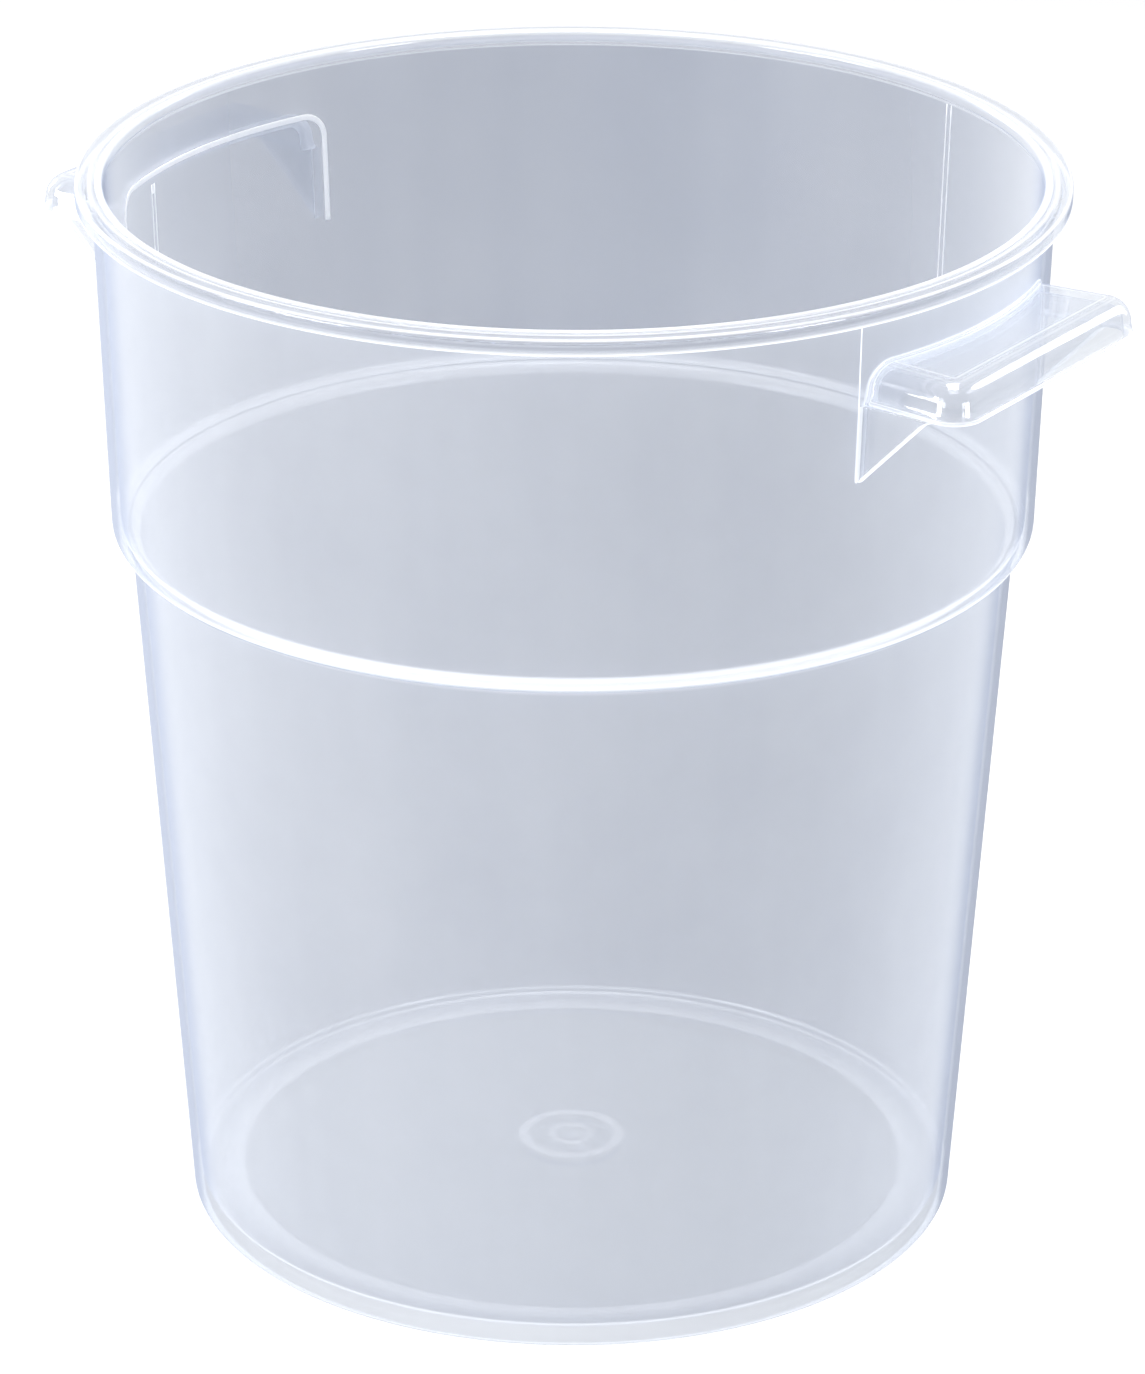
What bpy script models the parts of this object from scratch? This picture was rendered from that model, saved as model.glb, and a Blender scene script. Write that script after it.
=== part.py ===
"""Round translucent bain marie container with two moulded hood handles.

The real object is one moulding. Its regions are separate solids that seat on each other with a
narrow seam. The axis of the container is the Z axis, the foot stands on Z = 0 and the handles lie
on +X and -X. All sizes are in metres.
"""

import math

import bmesh
import bpy

# Body of revolution
HEIGHT = 0.376
RIM_RADIUS = 0.168
WALL = 0.0030
SEAM = 0.0003
FLANGE_REACH = 0.0057
UPPER_HEIGHT = 0.1262
UPPER_TAPER = 0.0041
SHOULDER_STEP = 0.0063
SHOULDER_CORNER = 0.0054
SHOULDER_FILLET = 0.0008
LOWER_TAPER = 0.0167

# Rim section
FLANGE_THICKNESS = 0.0030
LIP_HEIGHT = 0.0056
LIP_THICKNESS = 0.0024
LIP_ROUNDING = 0.0005
EDGE_ROUNDING = 0.0014
BEAD_RADIUS = 0.0015
BEAD_STAND = 0.0006
BEAD_OVERHANG = 0.0008
GROOVE_WIDTH = 0.0016
GROOVE_DEPTH = 0.0004

# Foot and floor
FOOT_HEIGHT = 0.0018
FOOT_FLAT = 0.0062
FOOT_SLOPE = 0.0070
HEEL_ROUNDING = 0.0020
DOME_RISE = 0.0075

# Gate pad under the floor
GATE_RADIUS = 0.0170
GATE_THICKNESS = 0.0009
GATE_ROUNDING = 0.0004
STUB_RING_RADIUS = 0.0070
STUB_RING_HEIGHT = 0.0005
STUB_RADIUS = 0.0040
STUB_HEIGHT = 0.0016

# Hood handles
HANDLE_DROP = 0.0226
HANDLE_WIDTH = 0.1145
HANDLE_REACH = 0.0219
HANDLE_DEPTH = 0.0131
HANDLE_WALL = 0.0026
HANDLE_CORNER = 0.0102
HANDLE_ROUNDING = 0.0086
HANDLE_DRAFT = 0.0005
HANDLE_SPLAY = math.radians(6.0)
SKIRT_LIP = 0.0006
SKIRT_LIP_HEIGHT = 0.0013
GUSSET_THICKNESS = 0.0034
GUSSET_REACH = 0.0260
GUSSET_DEPTH = 0.0260
GUSSET_FILLET = 0.0080
GUSSET_INSET = 0.0003
GUSSET_ROOT = 0.0010
GUSSET_WEB = 0.0045
CUT_OVERRUN = 0.0100

# Fineness of the round shapes
TURN_STEPS = 80
CORNER_STEPS = 5
FILLET_STEPS = 2
ROUNDING_STEPS = 4
CORNER_LEAST_SHARE = 0.04
MERGE_SHARE = 0.01

# Values worked out from the sizes above
FLANGE_TOP = HEIGHT - BEAD_STAND
RIM_SEAT = FLANGE_TOP - FLANGE_THICKNESS
WALL_TOP = RIM_SEAT - SEAM
WALL_TOP_RADIUS = RIM_RADIUS - FLANGE_REACH
SHOULDER_RADIUS = WALL_TOP_RADIUS - UPPER_TAPER
SHOULDER_LEVEL = HEIGHT - UPPER_HEIGHT
LOWER_TOP_RADIUS = SHOULDER_RADIUS - SHOULDER_STEP
HEEL_RADIUS = LOWER_TOP_RADIUS - LOWER_TAPER
SHELL_BOTTOM = FOOT_HEIGHT + SEAM
RECESS_RADIUS = HEEL_RADIUS - HEEL_ROUNDING - FOOT_FLAT - FOOT_SLOPE
DOME_RADIUS = (RECESS_RADIUS ** 2 + DOME_RISE ** 2) / (2 * DOME_RISE)
SHELF_TOP = HEIGHT - HANDLE_DROP
SKIRT_BOTTOM = SHELF_TOP - HANDLE_DEPTH
SKIRT_LEDGE = SKIRT_BOTTOM + SKIRT_LIP_HEIGHT
HANDLE_FRONT = RIM_RADIUS + HANDLE_REACH

NATURAL = (0.82, 0.86, 0.92, 1.0)
PART_COLLECTION = "bain_marie_container"
CUTTER_COLLECTION = "cutters"


def lower_wall_radius(z):
    """Outer radius of the lower wall at height z."""
    return HEEL_RADIUS + LOWER_TAPER * z / SHOULDER_LEVEL


def upper_wall_radius(z):
    """Outer radius of the upper wall at height z."""
    top_of_corner = SHOULDER_LEVEL + SHOULDER_CORNER
    share = (z - top_of_corner) / (WALL_TOP - top_of_corner)
    return SHOULDER_RADIUS + UPPER_TAPER * share


def arc(centre_x, centre_z, radius, start, end, steps):
    """Points on an arc from start to end, in degrees, both ends included."""
    points = []
    for i in range(steps + 1):
        angle = math.radians(start + (end - start) * i / steps)
        points.append((centre_x + radius * math.cos(angle), centre_z + radius * math.sin(angle)))
    return points


def dome_height(radius):
    """Height of the floor's underside above the edge of the dome."""
    return math.sqrt(DOME_RADIUS ** 2 - radius ** 2) - (DOME_RADIUS - DOME_RISE)


def clear_scene():
    for item in list(bpy.data.objects):
        bpy.data.objects.remove(item, do_unlink=True)


def new_collection(name):
    collection = bpy.data.collections.new(name)
    bpy.context.scene.collection.children.link(collection)
    return collection


def make_material(name, roughness):
    """Natural polypropylene: pale, slightly blue and translucent."""
    material = bpy.data.materials.new(name)
    material.use_nodes = True
    shader = material.node_tree.nodes["Principled BSDF"]
    shader.inputs["Base Color"].default_value = NATURAL
    shader.inputs["Roughness"].default_value = roughness
    shader.inputs["Metallic"].default_value = 0.0
    shader.inputs["Transmission Weight"].default_value = 0.6
    return material


def add_object(name, mesh, collection):
    item = bpy.data.objects.new(name, mesh)
    collection.objects.link(item)
    return item


def profile_object(name, points, closed, collection):
    """Line of points in the XZ plane, ready to be turned."""
    mesh = bpy.data.meshes.new(name)
    edges = [(i, i + 1) for i in range(len(points) - 1)]
    if closed:
        edges.append((len(points) - 1, 0))
    mesh.from_pydata([(x, 0.0, z) for x, z in points], edges, [])
    return add_object(name, mesh, collection)


def turn(item, merge_distance):
    """Full turn of a profile about the Z axis."""
    screw = item.modifiers.new("turn", "SCREW")
    screw.axis = "Z"
    screw.angle = math.tau
    screw.steps = TURN_STEPS
    screw.render_steps = TURN_STEPS
    screw.use_merge_vertices = True
    screw.merge_threshold = merge_distance
    screw.use_smooth_shade = True
    return screw


def boolean(item, tool, operation):
    modifier = item.modifiers.new(operation.lower(), "BOOLEAN")
    modifier.operation = operation
    modifier.object = tool
    modifier.solver = "EXACT"


def hide_cutter(item):
    item.hide_render = True
    item.display_type = "WIRE"


def settle(item):
    """Replace an object's mesh by its evaluated one and drop the modifiers."""
    depsgraph = bpy.context.evaluated_depsgraph_get()
    mesh = bpy.data.meshes.new_from_object(item.evaluated_get(depsgraph))
    item.modifiers.clear()
    item.data = mesh
    return mesh


def shell_profile():
    """Outer line of the shell: down the wall, round the shoulder and along the domed floor."""
    corner_x = SHOULDER_RADIUS - SHOULDER_CORNER
    corner_z = SHOULDER_LEVEL + SHOULDER_CORNER
    fillet_z = SHOULDER_LEVEL - SHOULDER_FILLET
    fillet_x = lower_wall_radius(fillet_z) + SHOULDER_FILLET
    points = [(WALL_TOP_RADIUS, WALL_TOP)]
    points += arc(corner_x, corner_z, SHOULDER_CORNER, 0, -90, CORNER_STEPS)
    points += arc(fillet_x, fillet_z, SHOULDER_FILLET, 90, 180, FILLET_STEPS)
    points.append((lower_wall_radius(SHELL_BOTTOM), SHELL_BOTTOM))
    rings = CORNER_STEPS
    for i in range(rings):
        radius = RECESS_RADIUS * (rings - i) / rings
        points.append((radius, SHELL_BOTTOM + dome_height(radius)))
    points.append((0.0, SHELL_BOTTOM + DOME_RISE))
    return points


def build_vessel_shell(collection):
    item = profile_object("vessel_shell", shell_profile(), False, collection)
    turn(item, WALL * MERGE_SHARE)
    solidify = item.modifiers.new("wall", "SOLIDIFY")
    solidify.thickness = WALL
    solidify.offset = -1.0
    solidify.use_even_offset = True
    return item


def rim_profile():
    """Closed section of the rim, from the bead outwards, round the lip and back underneath."""
    bead_inner = WALL_TOP_RADIUS - WALL - BEAD_OVERHANG
    bead_x = bead_inner + BEAD_RADIUS
    bead_z = HEIGHT - BEAD_RADIUS
    groove_level = FLANGE_TOP - GROOVE_DEPTH
    groove_start = bead_x + BEAD_RADIUS
    groove_end = groove_start + GROOVE_WIDTH
    lip_bottom = FLANGE_TOP - LIP_HEIGHT
    lip_inner = RIM_RADIUS - LIP_THICKNESS
    points = arc(bead_x, bead_z, BEAD_RADIUS, 180, 30, ROUNDING_STEPS)
    points.append((groove_start, groove_level))
    points.append((groove_end, FLANGE_TOP))
    edge_x = RIM_RADIUS - EDGE_ROUNDING
    edge_z = FLANGE_TOP - EDGE_ROUNDING
    points += arc(edge_x, edge_z, EDGE_ROUNDING, 90, 0, ROUNDING_STEPS)
    points += arc(RIM_RADIUS - LIP_ROUNDING, lip_bottom + LIP_ROUNDING, LIP_ROUNDING, 0, -90, FILLET_STEPS)
    points.append((lip_inner, lip_bottom))
    points.append((lip_inner, RIM_SEAT))
    points.append((bead_inner, RIM_SEAT))
    return points


def build_rim_flange(collection):
    item = profile_object("rim_flange", rim_profile(), True, collection)
    turn(item, WALL * MERGE_SHARE)
    return item


def build_foot_ring(collection):
    """Low ring under the heel, rounded outside and sloped inside."""
    top_radius = lower_wall_radius(FOOT_HEIGHT)
    heel_x = HEEL_RADIUS - HEEL_ROUNDING
    heel_angle = math.degrees(math.asin((FOOT_HEIGHT - HEEL_ROUNDING) / HEEL_ROUNDING))
    points = arc(heel_x, HEEL_ROUNDING, HEEL_ROUNDING, heel_angle, -90, ROUNDING_STEPS)
    points[0] = (top_radius, FOOT_HEIGHT)
    points.append((heel_x - FOOT_FLAT, 0.0))
    points.append((RECESS_RADIUS, FOOT_HEIGHT))
    item = profile_object("foot_ring", points, True, collection)
    turn(item, WALL * MERGE_SHARE)
    return item


def build_gate_disc(collection):
    """Pad under the middle of the floor, with a ring and the cut stub of the sprue."""
    top = SHELL_BOTTOM + dome_height(GATE_RADIUS) - SEAM
    bottom = top - GATE_THICKNESS
    ring_bottom = bottom - STUB_RING_HEIGHT
    stub_bottom = bottom - STUB_HEIGHT
    points = [(0.0, top), (GATE_RADIUS, top)]
    points += arc(GATE_RADIUS - GATE_ROUNDING, bottom + GATE_ROUNDING, GATE_ROUNDING, 0, -90, FILLET_STEPS)
    points += [(STUB_RING_RADIUS, bottom), (STUB_RING_RADIUS - STUB_RING_HEIGHT, ring_bottom)]
    points += [(STUB_RADIUS, ring_bottom), (STUB_RADIUS - STUB_RING_HEIGHT, stub_bottom)]
    points.append((0.0, stub_bottom))
    item = profile_object("gate_disc", points, False, collection)
    screw = turn(item, GATE_ROUNDING * MERGE_SHARE)
    screw.steps = TURN_STEPS // 2
    screw.render_steps = TURN_STEPS // 2
    return item


def hood_outline(inset, root):
    """Plan of a hood, anticlockwise: two rounded outer corners and ends that draw in towards the wall."""
    front = HANDLE_FRONT - inset
    side = HANDLE_WIDTH / 2 - inset
    radius = max(HANDLE_CORNER - inset, HANDLE_CORNER * CORNER_LEAST_SHARE)
    corner_x = front - radius
    half = arc(corner_x, side - radius, radius, 0, 90, CORNER_STEPS)
    half.append((root, side - (corner_x - root) * math.tan(HANDLE_SPLAY)))
    return [(x, -y) for x, y in reversed(half)] + half


def skirt_levels(inset, bottom, top, rounding):
    """Heights and insets of a hood's outlines: drawn in by the draft, then round the top edge."""
    start = top - rounding
    levels = [(bottom, inset), (start, inset + HANDLE_DRAFT)]
    for x, z in arc(0.0, 0.0, rounding, 0, 90, ROUNDING_STEPS)[1:]:
        levels.append((start + z, inset + HANDLE_DRAFT + rounding - x))
    return levels


def hood_block(name, levels, root, collection):
    """Solid loft through the hood's outlines, one above the other."""
    work = bmesh.new()
    loops = []
    for level, inset in levels:
        outline = hood_outline(inset, root)
        loops.append([work.verts.new((x, y, level)) for x, y in outline])
    count = len(loops[0])
    for lower, upper in zip(loops, loops[1:]):
        for i in range(count):
            j = (i + 1) % count
            work.faces.new((lower[i], lower[j], upper[j], upper[i]))
    work.faces.new(list(reversed(loops[0])))
    work.faces.new(loops[-1])
    mesh = bpy.data.meshes.new(name)
    work.to_mesh(mesh)
    work.free()
    return add_object(name, mesh, collection)


def wall_core(collection):
    """Solid cone of the upper wall with the seam added, which trims the roots of the handles."""
    low = SKIRT_BOTTOM - GUSSET_DEPTH - 2 * CUT_OVERRUN
    high = SHELF_TOP + CUT_OVERRUN
    points = [(0.0, high)]
    points.append((upper_wall_radius(high) + SEAM, high))
    points.append((upper_wall_radius(low) + SEAM, low))
    points.append((0.0, low))
    item = profile_object("wall_core", points, False, collection)
    turn(item, WALL * MERGE_SHARE)
    hide_cutter(item)
    return item


def side_wall_x():
    """Distance of the upper wall from the axis plane at the ends of a handle."""
    return math.sqrt(upper_wall_radius(SKIRT_BOTTOM) ** 2 - (HANDLE_WIDTH / 2) ** 2)


def gusset_outline(root):
    """Side view of a gusset: slanted edge, fillet into the skirt, and a small web above the ledge."""
    wall = side_wall_x()
    slant = math.atan2(GUSSET_DEPTH, GUSSET_REACH)
    tip = wall + GUSSET_REACH
    tangent = GUSSET_FILLET * math.tan(slant / 2)
    start = 90 + math.degrees(slant)
    buried = SKIRT_BOTTOM + GUSSET_ROOT
    points = [(root, SKIRT_BOTTOM - math.tan(slant) * (tip - root))]
    points += arc(tip + tangent, SKIRT_BOTTOM - GUSSET_FILLET, GUSSET_FILLET, start, 90, CORNER_STEPS)
    points.append((tip + tangent, buried))
    points.append((wall + GUSSET_WEB, buried))
    points += arc(wall + GUSSET_WEB, SKIRT_LEDGE + GUSSET_WEB, GUSSET_WEB, 270, 180, CORNER_STEPS)
    points.append((root, SKIRT_LEDGE + GUSSET_WEB))
    return points


def gusset_plate(name, side, root, collection):
    """Plate under one end of a hood. Its slanted edge meets the wall at the apex."""
    face = side * (HANDLE_WIDTH / 2 - GUSSET_INSET - GUSSET_THICKNESS / 2)
    outline = gusset_outline(root)
    curve = bpy.data.curves.new(name, "CURVE")
    curve.dimensions = "2D"
    curve.fill_mode = "BOTH"
    curve.extrude = GUSSET_THICKNESS / 2
    spline = curve.splines.new("POLY")
    spline.points.add(len(outline) - 1)
    for point, (x, z) in zip(spline.points, outline):
        point.co = (x, z, 0.0, 1.0)
    spline.use_cyclic_u = True
    flat = add_object(name + "_outline", curve, collection)
    flat.rotation_euler = (math.pi / 2, 0.0, 0.0)
    flat.location = (0.0, face, 0.0)
    bpy.context.view_layer.update()
    depsgraph = bpy.context.evaluated_depsgraph_get()
    mesh = bpy.data.meshes.new_from_object(flat.evaluated_get(depsgraph))
    work = bmesh.new()
    work.from_mesh(mesh)
    bmesh.ops.remove_doubles(work, verts=work.verts, dist=GUSSET_THICKNESS * MERGE_SHARE)
    bmesh.ops.recalc_face_normals(work, faces=work.faces)
    work.to_mesh(mesh)
    work.free()
    plate = add_object(name, mesh, collection)
    plate.matrix_world = flat.matrix_world
    bpy.data.objects.remove(flat, do_unlink=True)
    hide_cutter(plate)
    return plate


def build_handles(parts, cutters):
    """Two hood handles: shelf, outer skirt, end skirts and gussets, open underneath."""
    root = side_wall_x() - CUT_OVERRUN
    lip = [(SKIRT_BOTTOM, 0.0), (SKIRT_LEDGE, 0.0)]
    skirt = skirt_levels(SKIRT_LIP, SKIRT_LEDGE, SHELF_TOP, HANDLE_ROUNDING)
    right = hood_block("handle_right", lip + skirt, root, parts)
    hollow = skirt_levels(
        SKIRT_LIP + HANDLE_WALL, SKIRT_BOTTOM - CUT_OVERRUN,
        SHELF_TOP - HANDLE_WALL, HANDLE_ROUNDING - HANDLE_WALL
    )
    cavity = hood_block("hood_cavity", hollow, root - CUT_OVERRUN, cutters)
    hide_cutter(cavity)
    boolean(right, cavity, "DIFFERENCE")
    for label, side in (("gusset_front", -1), ("gusset_back", 1)):
        boolean(right, gusset_plate(label, side, root, cutters), "UNION")
    boolean(right, wall_core(cutters), "DIFFERENCE")
    mesh = settle(right)
    mesh.shade_smooth()
    mesh.set_sharp_from_angle(angle=math.radians(35))
    left = add_object("handle_left", mesh, parts)
    left.rotation_euler = (0.0, 0.0, math.pi)
    return right, left


def main():
    clear_scene()
    parts = new_collection(PART_COLLECTION)
    cutters = new_collection(CUTTER_COLLECTION)
    shell = build_vessel_shell(parts)
    rim = build_rim_flange(parts)
    foot = build_foot_ring(parts)
    gate = build_gate_disc(parts)
    right, left = build_handles(parts, cutters)
    finishes = ((shell, 0.22), (rim, 0.15), (foot, 0.25), (gate, 0.30), (right, 0.15), (left, 0.15))
    for item, roughness in finishes:
        material = make_material(item.name + "_polypropylene", roughness)
        item.data.materials.clear()
        item.data.materials.append(material)
    bpy.context.view_layer.update()


main()
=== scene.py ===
import math

import bmesh
import bpy
from mathutils import Matrix, Vector


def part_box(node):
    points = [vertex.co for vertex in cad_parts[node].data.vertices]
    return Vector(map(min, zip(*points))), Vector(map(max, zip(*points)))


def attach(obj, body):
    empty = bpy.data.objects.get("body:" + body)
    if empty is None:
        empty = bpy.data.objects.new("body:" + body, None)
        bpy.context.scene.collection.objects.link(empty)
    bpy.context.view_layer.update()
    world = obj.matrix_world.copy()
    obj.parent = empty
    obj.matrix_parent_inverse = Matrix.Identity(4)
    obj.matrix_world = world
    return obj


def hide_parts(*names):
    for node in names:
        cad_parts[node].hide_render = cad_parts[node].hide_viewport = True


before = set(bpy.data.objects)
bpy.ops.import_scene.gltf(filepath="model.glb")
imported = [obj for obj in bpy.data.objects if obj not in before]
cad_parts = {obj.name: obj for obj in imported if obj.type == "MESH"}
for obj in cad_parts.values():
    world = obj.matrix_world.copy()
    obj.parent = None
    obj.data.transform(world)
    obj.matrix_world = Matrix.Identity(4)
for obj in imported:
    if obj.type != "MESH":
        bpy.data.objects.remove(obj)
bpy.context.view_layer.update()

# Sizes read from the frame, in metres
RIM_LOW, RIM_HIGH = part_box("rim_flange")
SHELL_LOW, SHELL_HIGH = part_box("vessel_shell")
GATE_LOW, GATE_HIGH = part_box("gate_disc")
HANDLE_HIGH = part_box("handle_right")[1]
HEIGHT = RIM_HIGH.z
RIM_RADIUS = RIM_HIGH.x
LIP_BOTTOM = RIM_LOW.z
WALL_TOP_RADIUS = SHELL_HIGH.x
RECESS_LEVEL = SHELL_LOW.z
GATE_RADIUS = GATE_HIGH.x
HANDLE_FRONT = HANDLE_HIGH.x
HANDLE_SIDE = HANDLE_HIGH.y
SHELF_TOP = HANDLE_HIGH.z

# Wall and shoulder
WALL = 0.0030
UPPER_HEIGHT = 0.1262
UPPER_TAPER = 0.0041
SHOULDER_STEP = 0.0063
SHOULDER_CORNER = 0.0054
SHOULDER_FILLET = 0.0010
LOWER_TAPER = 0.0167

# Rim section
BEAD_RADIUS = 0.0015
BEAD_STAND = 0.0006
BEAD_OVERHANG = 0.0008
GROOVE_WIDTH = 0.0016
GROOVE_DEPTH = 0.0004
EDGE_ROUNDING = 0.0014
LIP_ROUNDING = 0.0005
LIP_THICKNESS = 0.0024
FLANGE_THICKNESS = 0.0030
FLANGE_FILLET = 0.0008

# Foot, floor and gate mark
FOOT_FLAT = 0.0062
FOOT_SLOPE = 0.0070
HEEL_ROUNDING = 0.0020
INNER_CORNER = 0.0032
DOME_RISE = 0.0075
GATE_ROUNDING = 0.0004
GATE_THICKNESS = 0.0009
STUB_RING_RADIUS = 0.0070
STUB_RADIUS = 0.0040
STUB_EDGE = 0.0005
STUB_ROUNDING = 0.0002
STUB_RING_HALF = 0.0012
GATE_RING_HALF = 0.0017
EDGE_RING_HALF = 0.0011
RING_LIFT = 0.0003
FOOT_ROUNDING = 0.0020
RECESS_SHARE = 0.95

# How milky and white the plastic is round the corners of the sections, from 0 to 1: partly the real
# milkiness of thick plastic, partly a painted highlight where light gathers in the bends
INNER_CORNER_MILK_AND_GLINT = (0.1, 0.5, 1.0, 0.6, 0.1, 0.4, 1.0, 0.8, 0.1)
BEAD_MILK_AND_GLINT = (0.3, 0.6, 1.0, 1.0, 0.6)
EDGE_MILK_AND_GLINT = (0.2, 1.0, 1.0, 0.2, 0.0)
SHOULDER_MILK_AND_GLINT = (0.0, 0.4, 0.9, 0.7, 0.2, 0.3, 0.2, 0.1, 0.0)
HEEL_MILK_AND_GLINT = (0.0, 0.6, 0.1, 0.0, 0.0)
FOOT_MILK_AND_GLINT = (0.0, 0.1, 0.8, 0.1, 0.0)

# Hood handles
HANDLE_DEPTH = 0.0131
HANDLE_WALL = 0.0026
HANDLE_CORNER = 0.0102
HANDLE_ROUNDING = 0.0086
HANDLE_DRAFT = 0.0005
CORNER_LEAST = 0.0012
END_SPLAY = math.radians(6.0)
SKIRT_LIP = 0.0006
SKIRT_LIP_HEIGHT = 0.0013
LIP_EDGE = 0.0003
OUTER_FLARE = 0.0013
INNER_FLARE = 0.0008
ROOT_DEPTH = 0.0004
GUSSET_SIDE = 0.0570
GUSSET_THICKNESS = 0.0026
GUSSET_REACH = 0.0255
GUSSET_DEPTH = 0.0265
GUSSET_FILLET = 0.0080
GUSSET_FLARE = 0.0010
GUSSET_FADE = 0.0004
SHELF_BORDER = 0.0009

# How milky and white the handles are, from 0 to 1: along the lip, top edge and root, and on their faces. The
# white lines are partly painted highlights
LIP_MILK_AND_GLINT = (1.0, 1.0, 0.6, 1.0)
FACE_MILK_AND_GLINT = 0.10
TOP_EDGE_MILK_AND_GLINT = (0.4, FACE_MILK_AND_GLINT, 0.7)
SHELF_MILK_AND_GLINT = 0.12
HOLLOW_MILK_AND_GLINT = 0.2
FLARE_MILK_AND_GLINT = (0.9, 0.15, 0.1, 0.6, 1.0)

# Witness lines of the mould on the wall, by their angles from the right handle, and a white ridge behind the
# left hood's root that paints the highlight of that root seen through the wall
ROOT_HIGHLIGHT_CORNER = 0.0080
LINE_HALF = 0.00030
LINE_STAND = 0.00012
ROOT_LINE_HALF = 0.0012
BLOB_HALF = 0.0014
BLOB_LENGTH = 0.0034
LINE_STEPS = 24
LINE_ARC_STEPS = 4
HANDLE_LINE_SIDE = 0.0580
FULL_LINES = (math.radians(68.5), math.radians(69.4))
SHORT_LINES = (math.radians(191.4), math.radians(192.2))
BLOB_ANGLE = math.radians(191.8)

# Fineness
TURN_STEPS = 384
ARC_STEPS = 8
FRONT_STEPS = 12
CORNER_STEPS = 12
END_STEPS = 12
ROUNDING_STEPS = 10
SHELF_STEPS = 40
HOLLOW_STEPS = 5
ROOT_PASSES = 4
FLARE_STEPS = 5
GUSSET_STEPS = 16
FLOOR_RINGS = 24
FADE = 0.0012
MERGE_DISTANCE = 0.00001

FLANGE_TOP = HEIGHT - BEAD_STAND
FLANGE_UNDER = FLANGE_TOP - FLANGE_THICKNESS
BEAD_UNDER = FLANGE_UNDER - BEAD_OVERHANG
SHOULDER_LEVEL = HEIGHT - UPPER_HEIGHT
SHOULDER_RADIUS = WALL_TOP_RADIUS - UPPER_TAPER
LOWER_TOP_RADIUS = SHOULDER_RADIUS - SHOULDER_STEP
HEEL_RADIUS = LOWER_TOP_RADIUS - LOWER_TAPER
RECESS_RADIUS = HEEL_RADIUS - HEEL_ROUNDING - FOOT_FLAT - FOOT_SLOPE
DOME_RADIUS = (RECESS_RADIUS ** 2 + DOME_RISE ** 2) / (2 * DOME_RISE)
SKIRT_BOTTOM = SHELF_TOP - HANDLE_DEPTH
SKIRT_LEDGE = SKIRT_BOTTOM + SKIRT_LIP_HEIGHT

# The plastic. Its milk white is partly a painted highlight, and its grey outline is painted shade. The
# outline is where the surface turns this far from the eye, on the facing scale of 0 to 1
MILK_AND_GLINT_WHITE = (0.96, 0.965, 0.98)
CLEAR_TINT = (0.972, 0.984, 1.0)
# Grey of the outline: painted shade where the surface turns away from the eye
OUTLINE_SHADE_GREY = (0.46, 0.50, 0.60)
MILK_AND_GLINT_HAZE = 0.55
SHADOW_CLEAR = 0.85
MILK_AND_GLINT_THROUGH = 0.40
PLAIN_THROUGH = 0.12
OUTLINE_START = 0.73
OUTLINE_FULL = 0.88
CLOUD_SCALE = 9.0
CLOUD_AMOUNT = 0.03
STREAK_SCALE = 26.0
STREAK_STRETCH = 0.06
STREAK_AMOUNT = 0.02
NOISE_LOW = 0.3
NOISE_HIGH = 0.7
RIPPLE_SCALE = 60.0
RIPPLE_STRENGTH = 0.05
RIPPLE_DEPTH = 0.0005

# Studio. A lamp has its place from the axis (to the camera's right, away from it and up), size and watts
FLOOR_HALF = 6.0
FLOOR_GREY = (0.48, 0.48, 0.48)
FLOOR_LIFT = 0.48
WORLD_TINT = (0.97, 0.985, 1.0)
WORLD_LEVEL = 0.42
LAMP_TARGET = (0, 0, 0.2)
LAMPS = (
    ("key_left", (-1.9, -1.2, 0.4), (0.7, 1.1), 25),
    ("side_left", (-1.96, -0.53, 0.97), (0.6, 0.8), 12),
    ("fill_right", (1.7, -1.4, 0.4), (0.7, 1.1), 23),
    ("band_right", (1.9, 1.1, 1.1), (0.6, 1.2), 10),
    ("back_left", (-1.7, 1.5, 0.9), (0.6, 1.2), 18),
    ("top", (0, 0.2, 2.2), (1.2, 1.2), 34),
)

# The studio floor lies this far under the foot, so that the two faces stay apart
FLOOR_GAP = 0.0003

# Camera, as solved from the photograph's ellipses
FRAME_HEIGHT_PX = 1374
FOCAL_PX = 6305
SENSOR_MM = 36.0
CAMERA_DISTANCE = 2.0229
CAMERA_HEIGHT = 1.0443
CAMERA_AZIMUTH = math.radians(-55.4)
CAMERA_PITCH = 0.401
CAMERA_ROLL = 0.0023


def lower_wall_radius(z):
    """Outer radius of the lower wall at height z."""
    return HEEL_RADIUS + LOWER_TAPER * z / SHOULDER_LEVEL


def upper_wall_radius(z):
    """Outer radius of the upper wall at height z."""
    low = SHOULDER_LEVEL + SHOULDER_CORNER
    return SHOULDER_RADIUS + UPPER_TAPER * (z - low) / (SHELL_HIGH.z - low)


def dome_height(radius):
    """Height of the floor above the edge of its dome."""
    return math.sqrt(DOME_RADIUS ** 2 - radius ** 2) - (DOME_RADIUS - DOME_RISE)


def arc(centre_x, centre_z, radius, start, end, steps=ARC_STEPS):
    """Points on an arc from start to end, in degrees."""
    points = []
    for i in range(steps + 1):
        angle = math.radians(start + (end - start) * i / steps)
        points.append((centre_x + radius * math.cos(angle), centre_z + radius * math.sin(angle)))
    return points


def spread(milk_and_glint, share):
    """Value of a row of milk values, milkiness and painted highlight together, at a share of its length."""
    if isinstance(milk_and_glint, float):
        return milk_and_glint
    place = share * (len(milk_and_glint) - 1)
    first = min(int(place), len(milk_and_glint) - 2)
    return milk_and_glint[first] + (milk_and_glint[first + 1] - milk_and_glint[first]) * (place - first)


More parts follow.
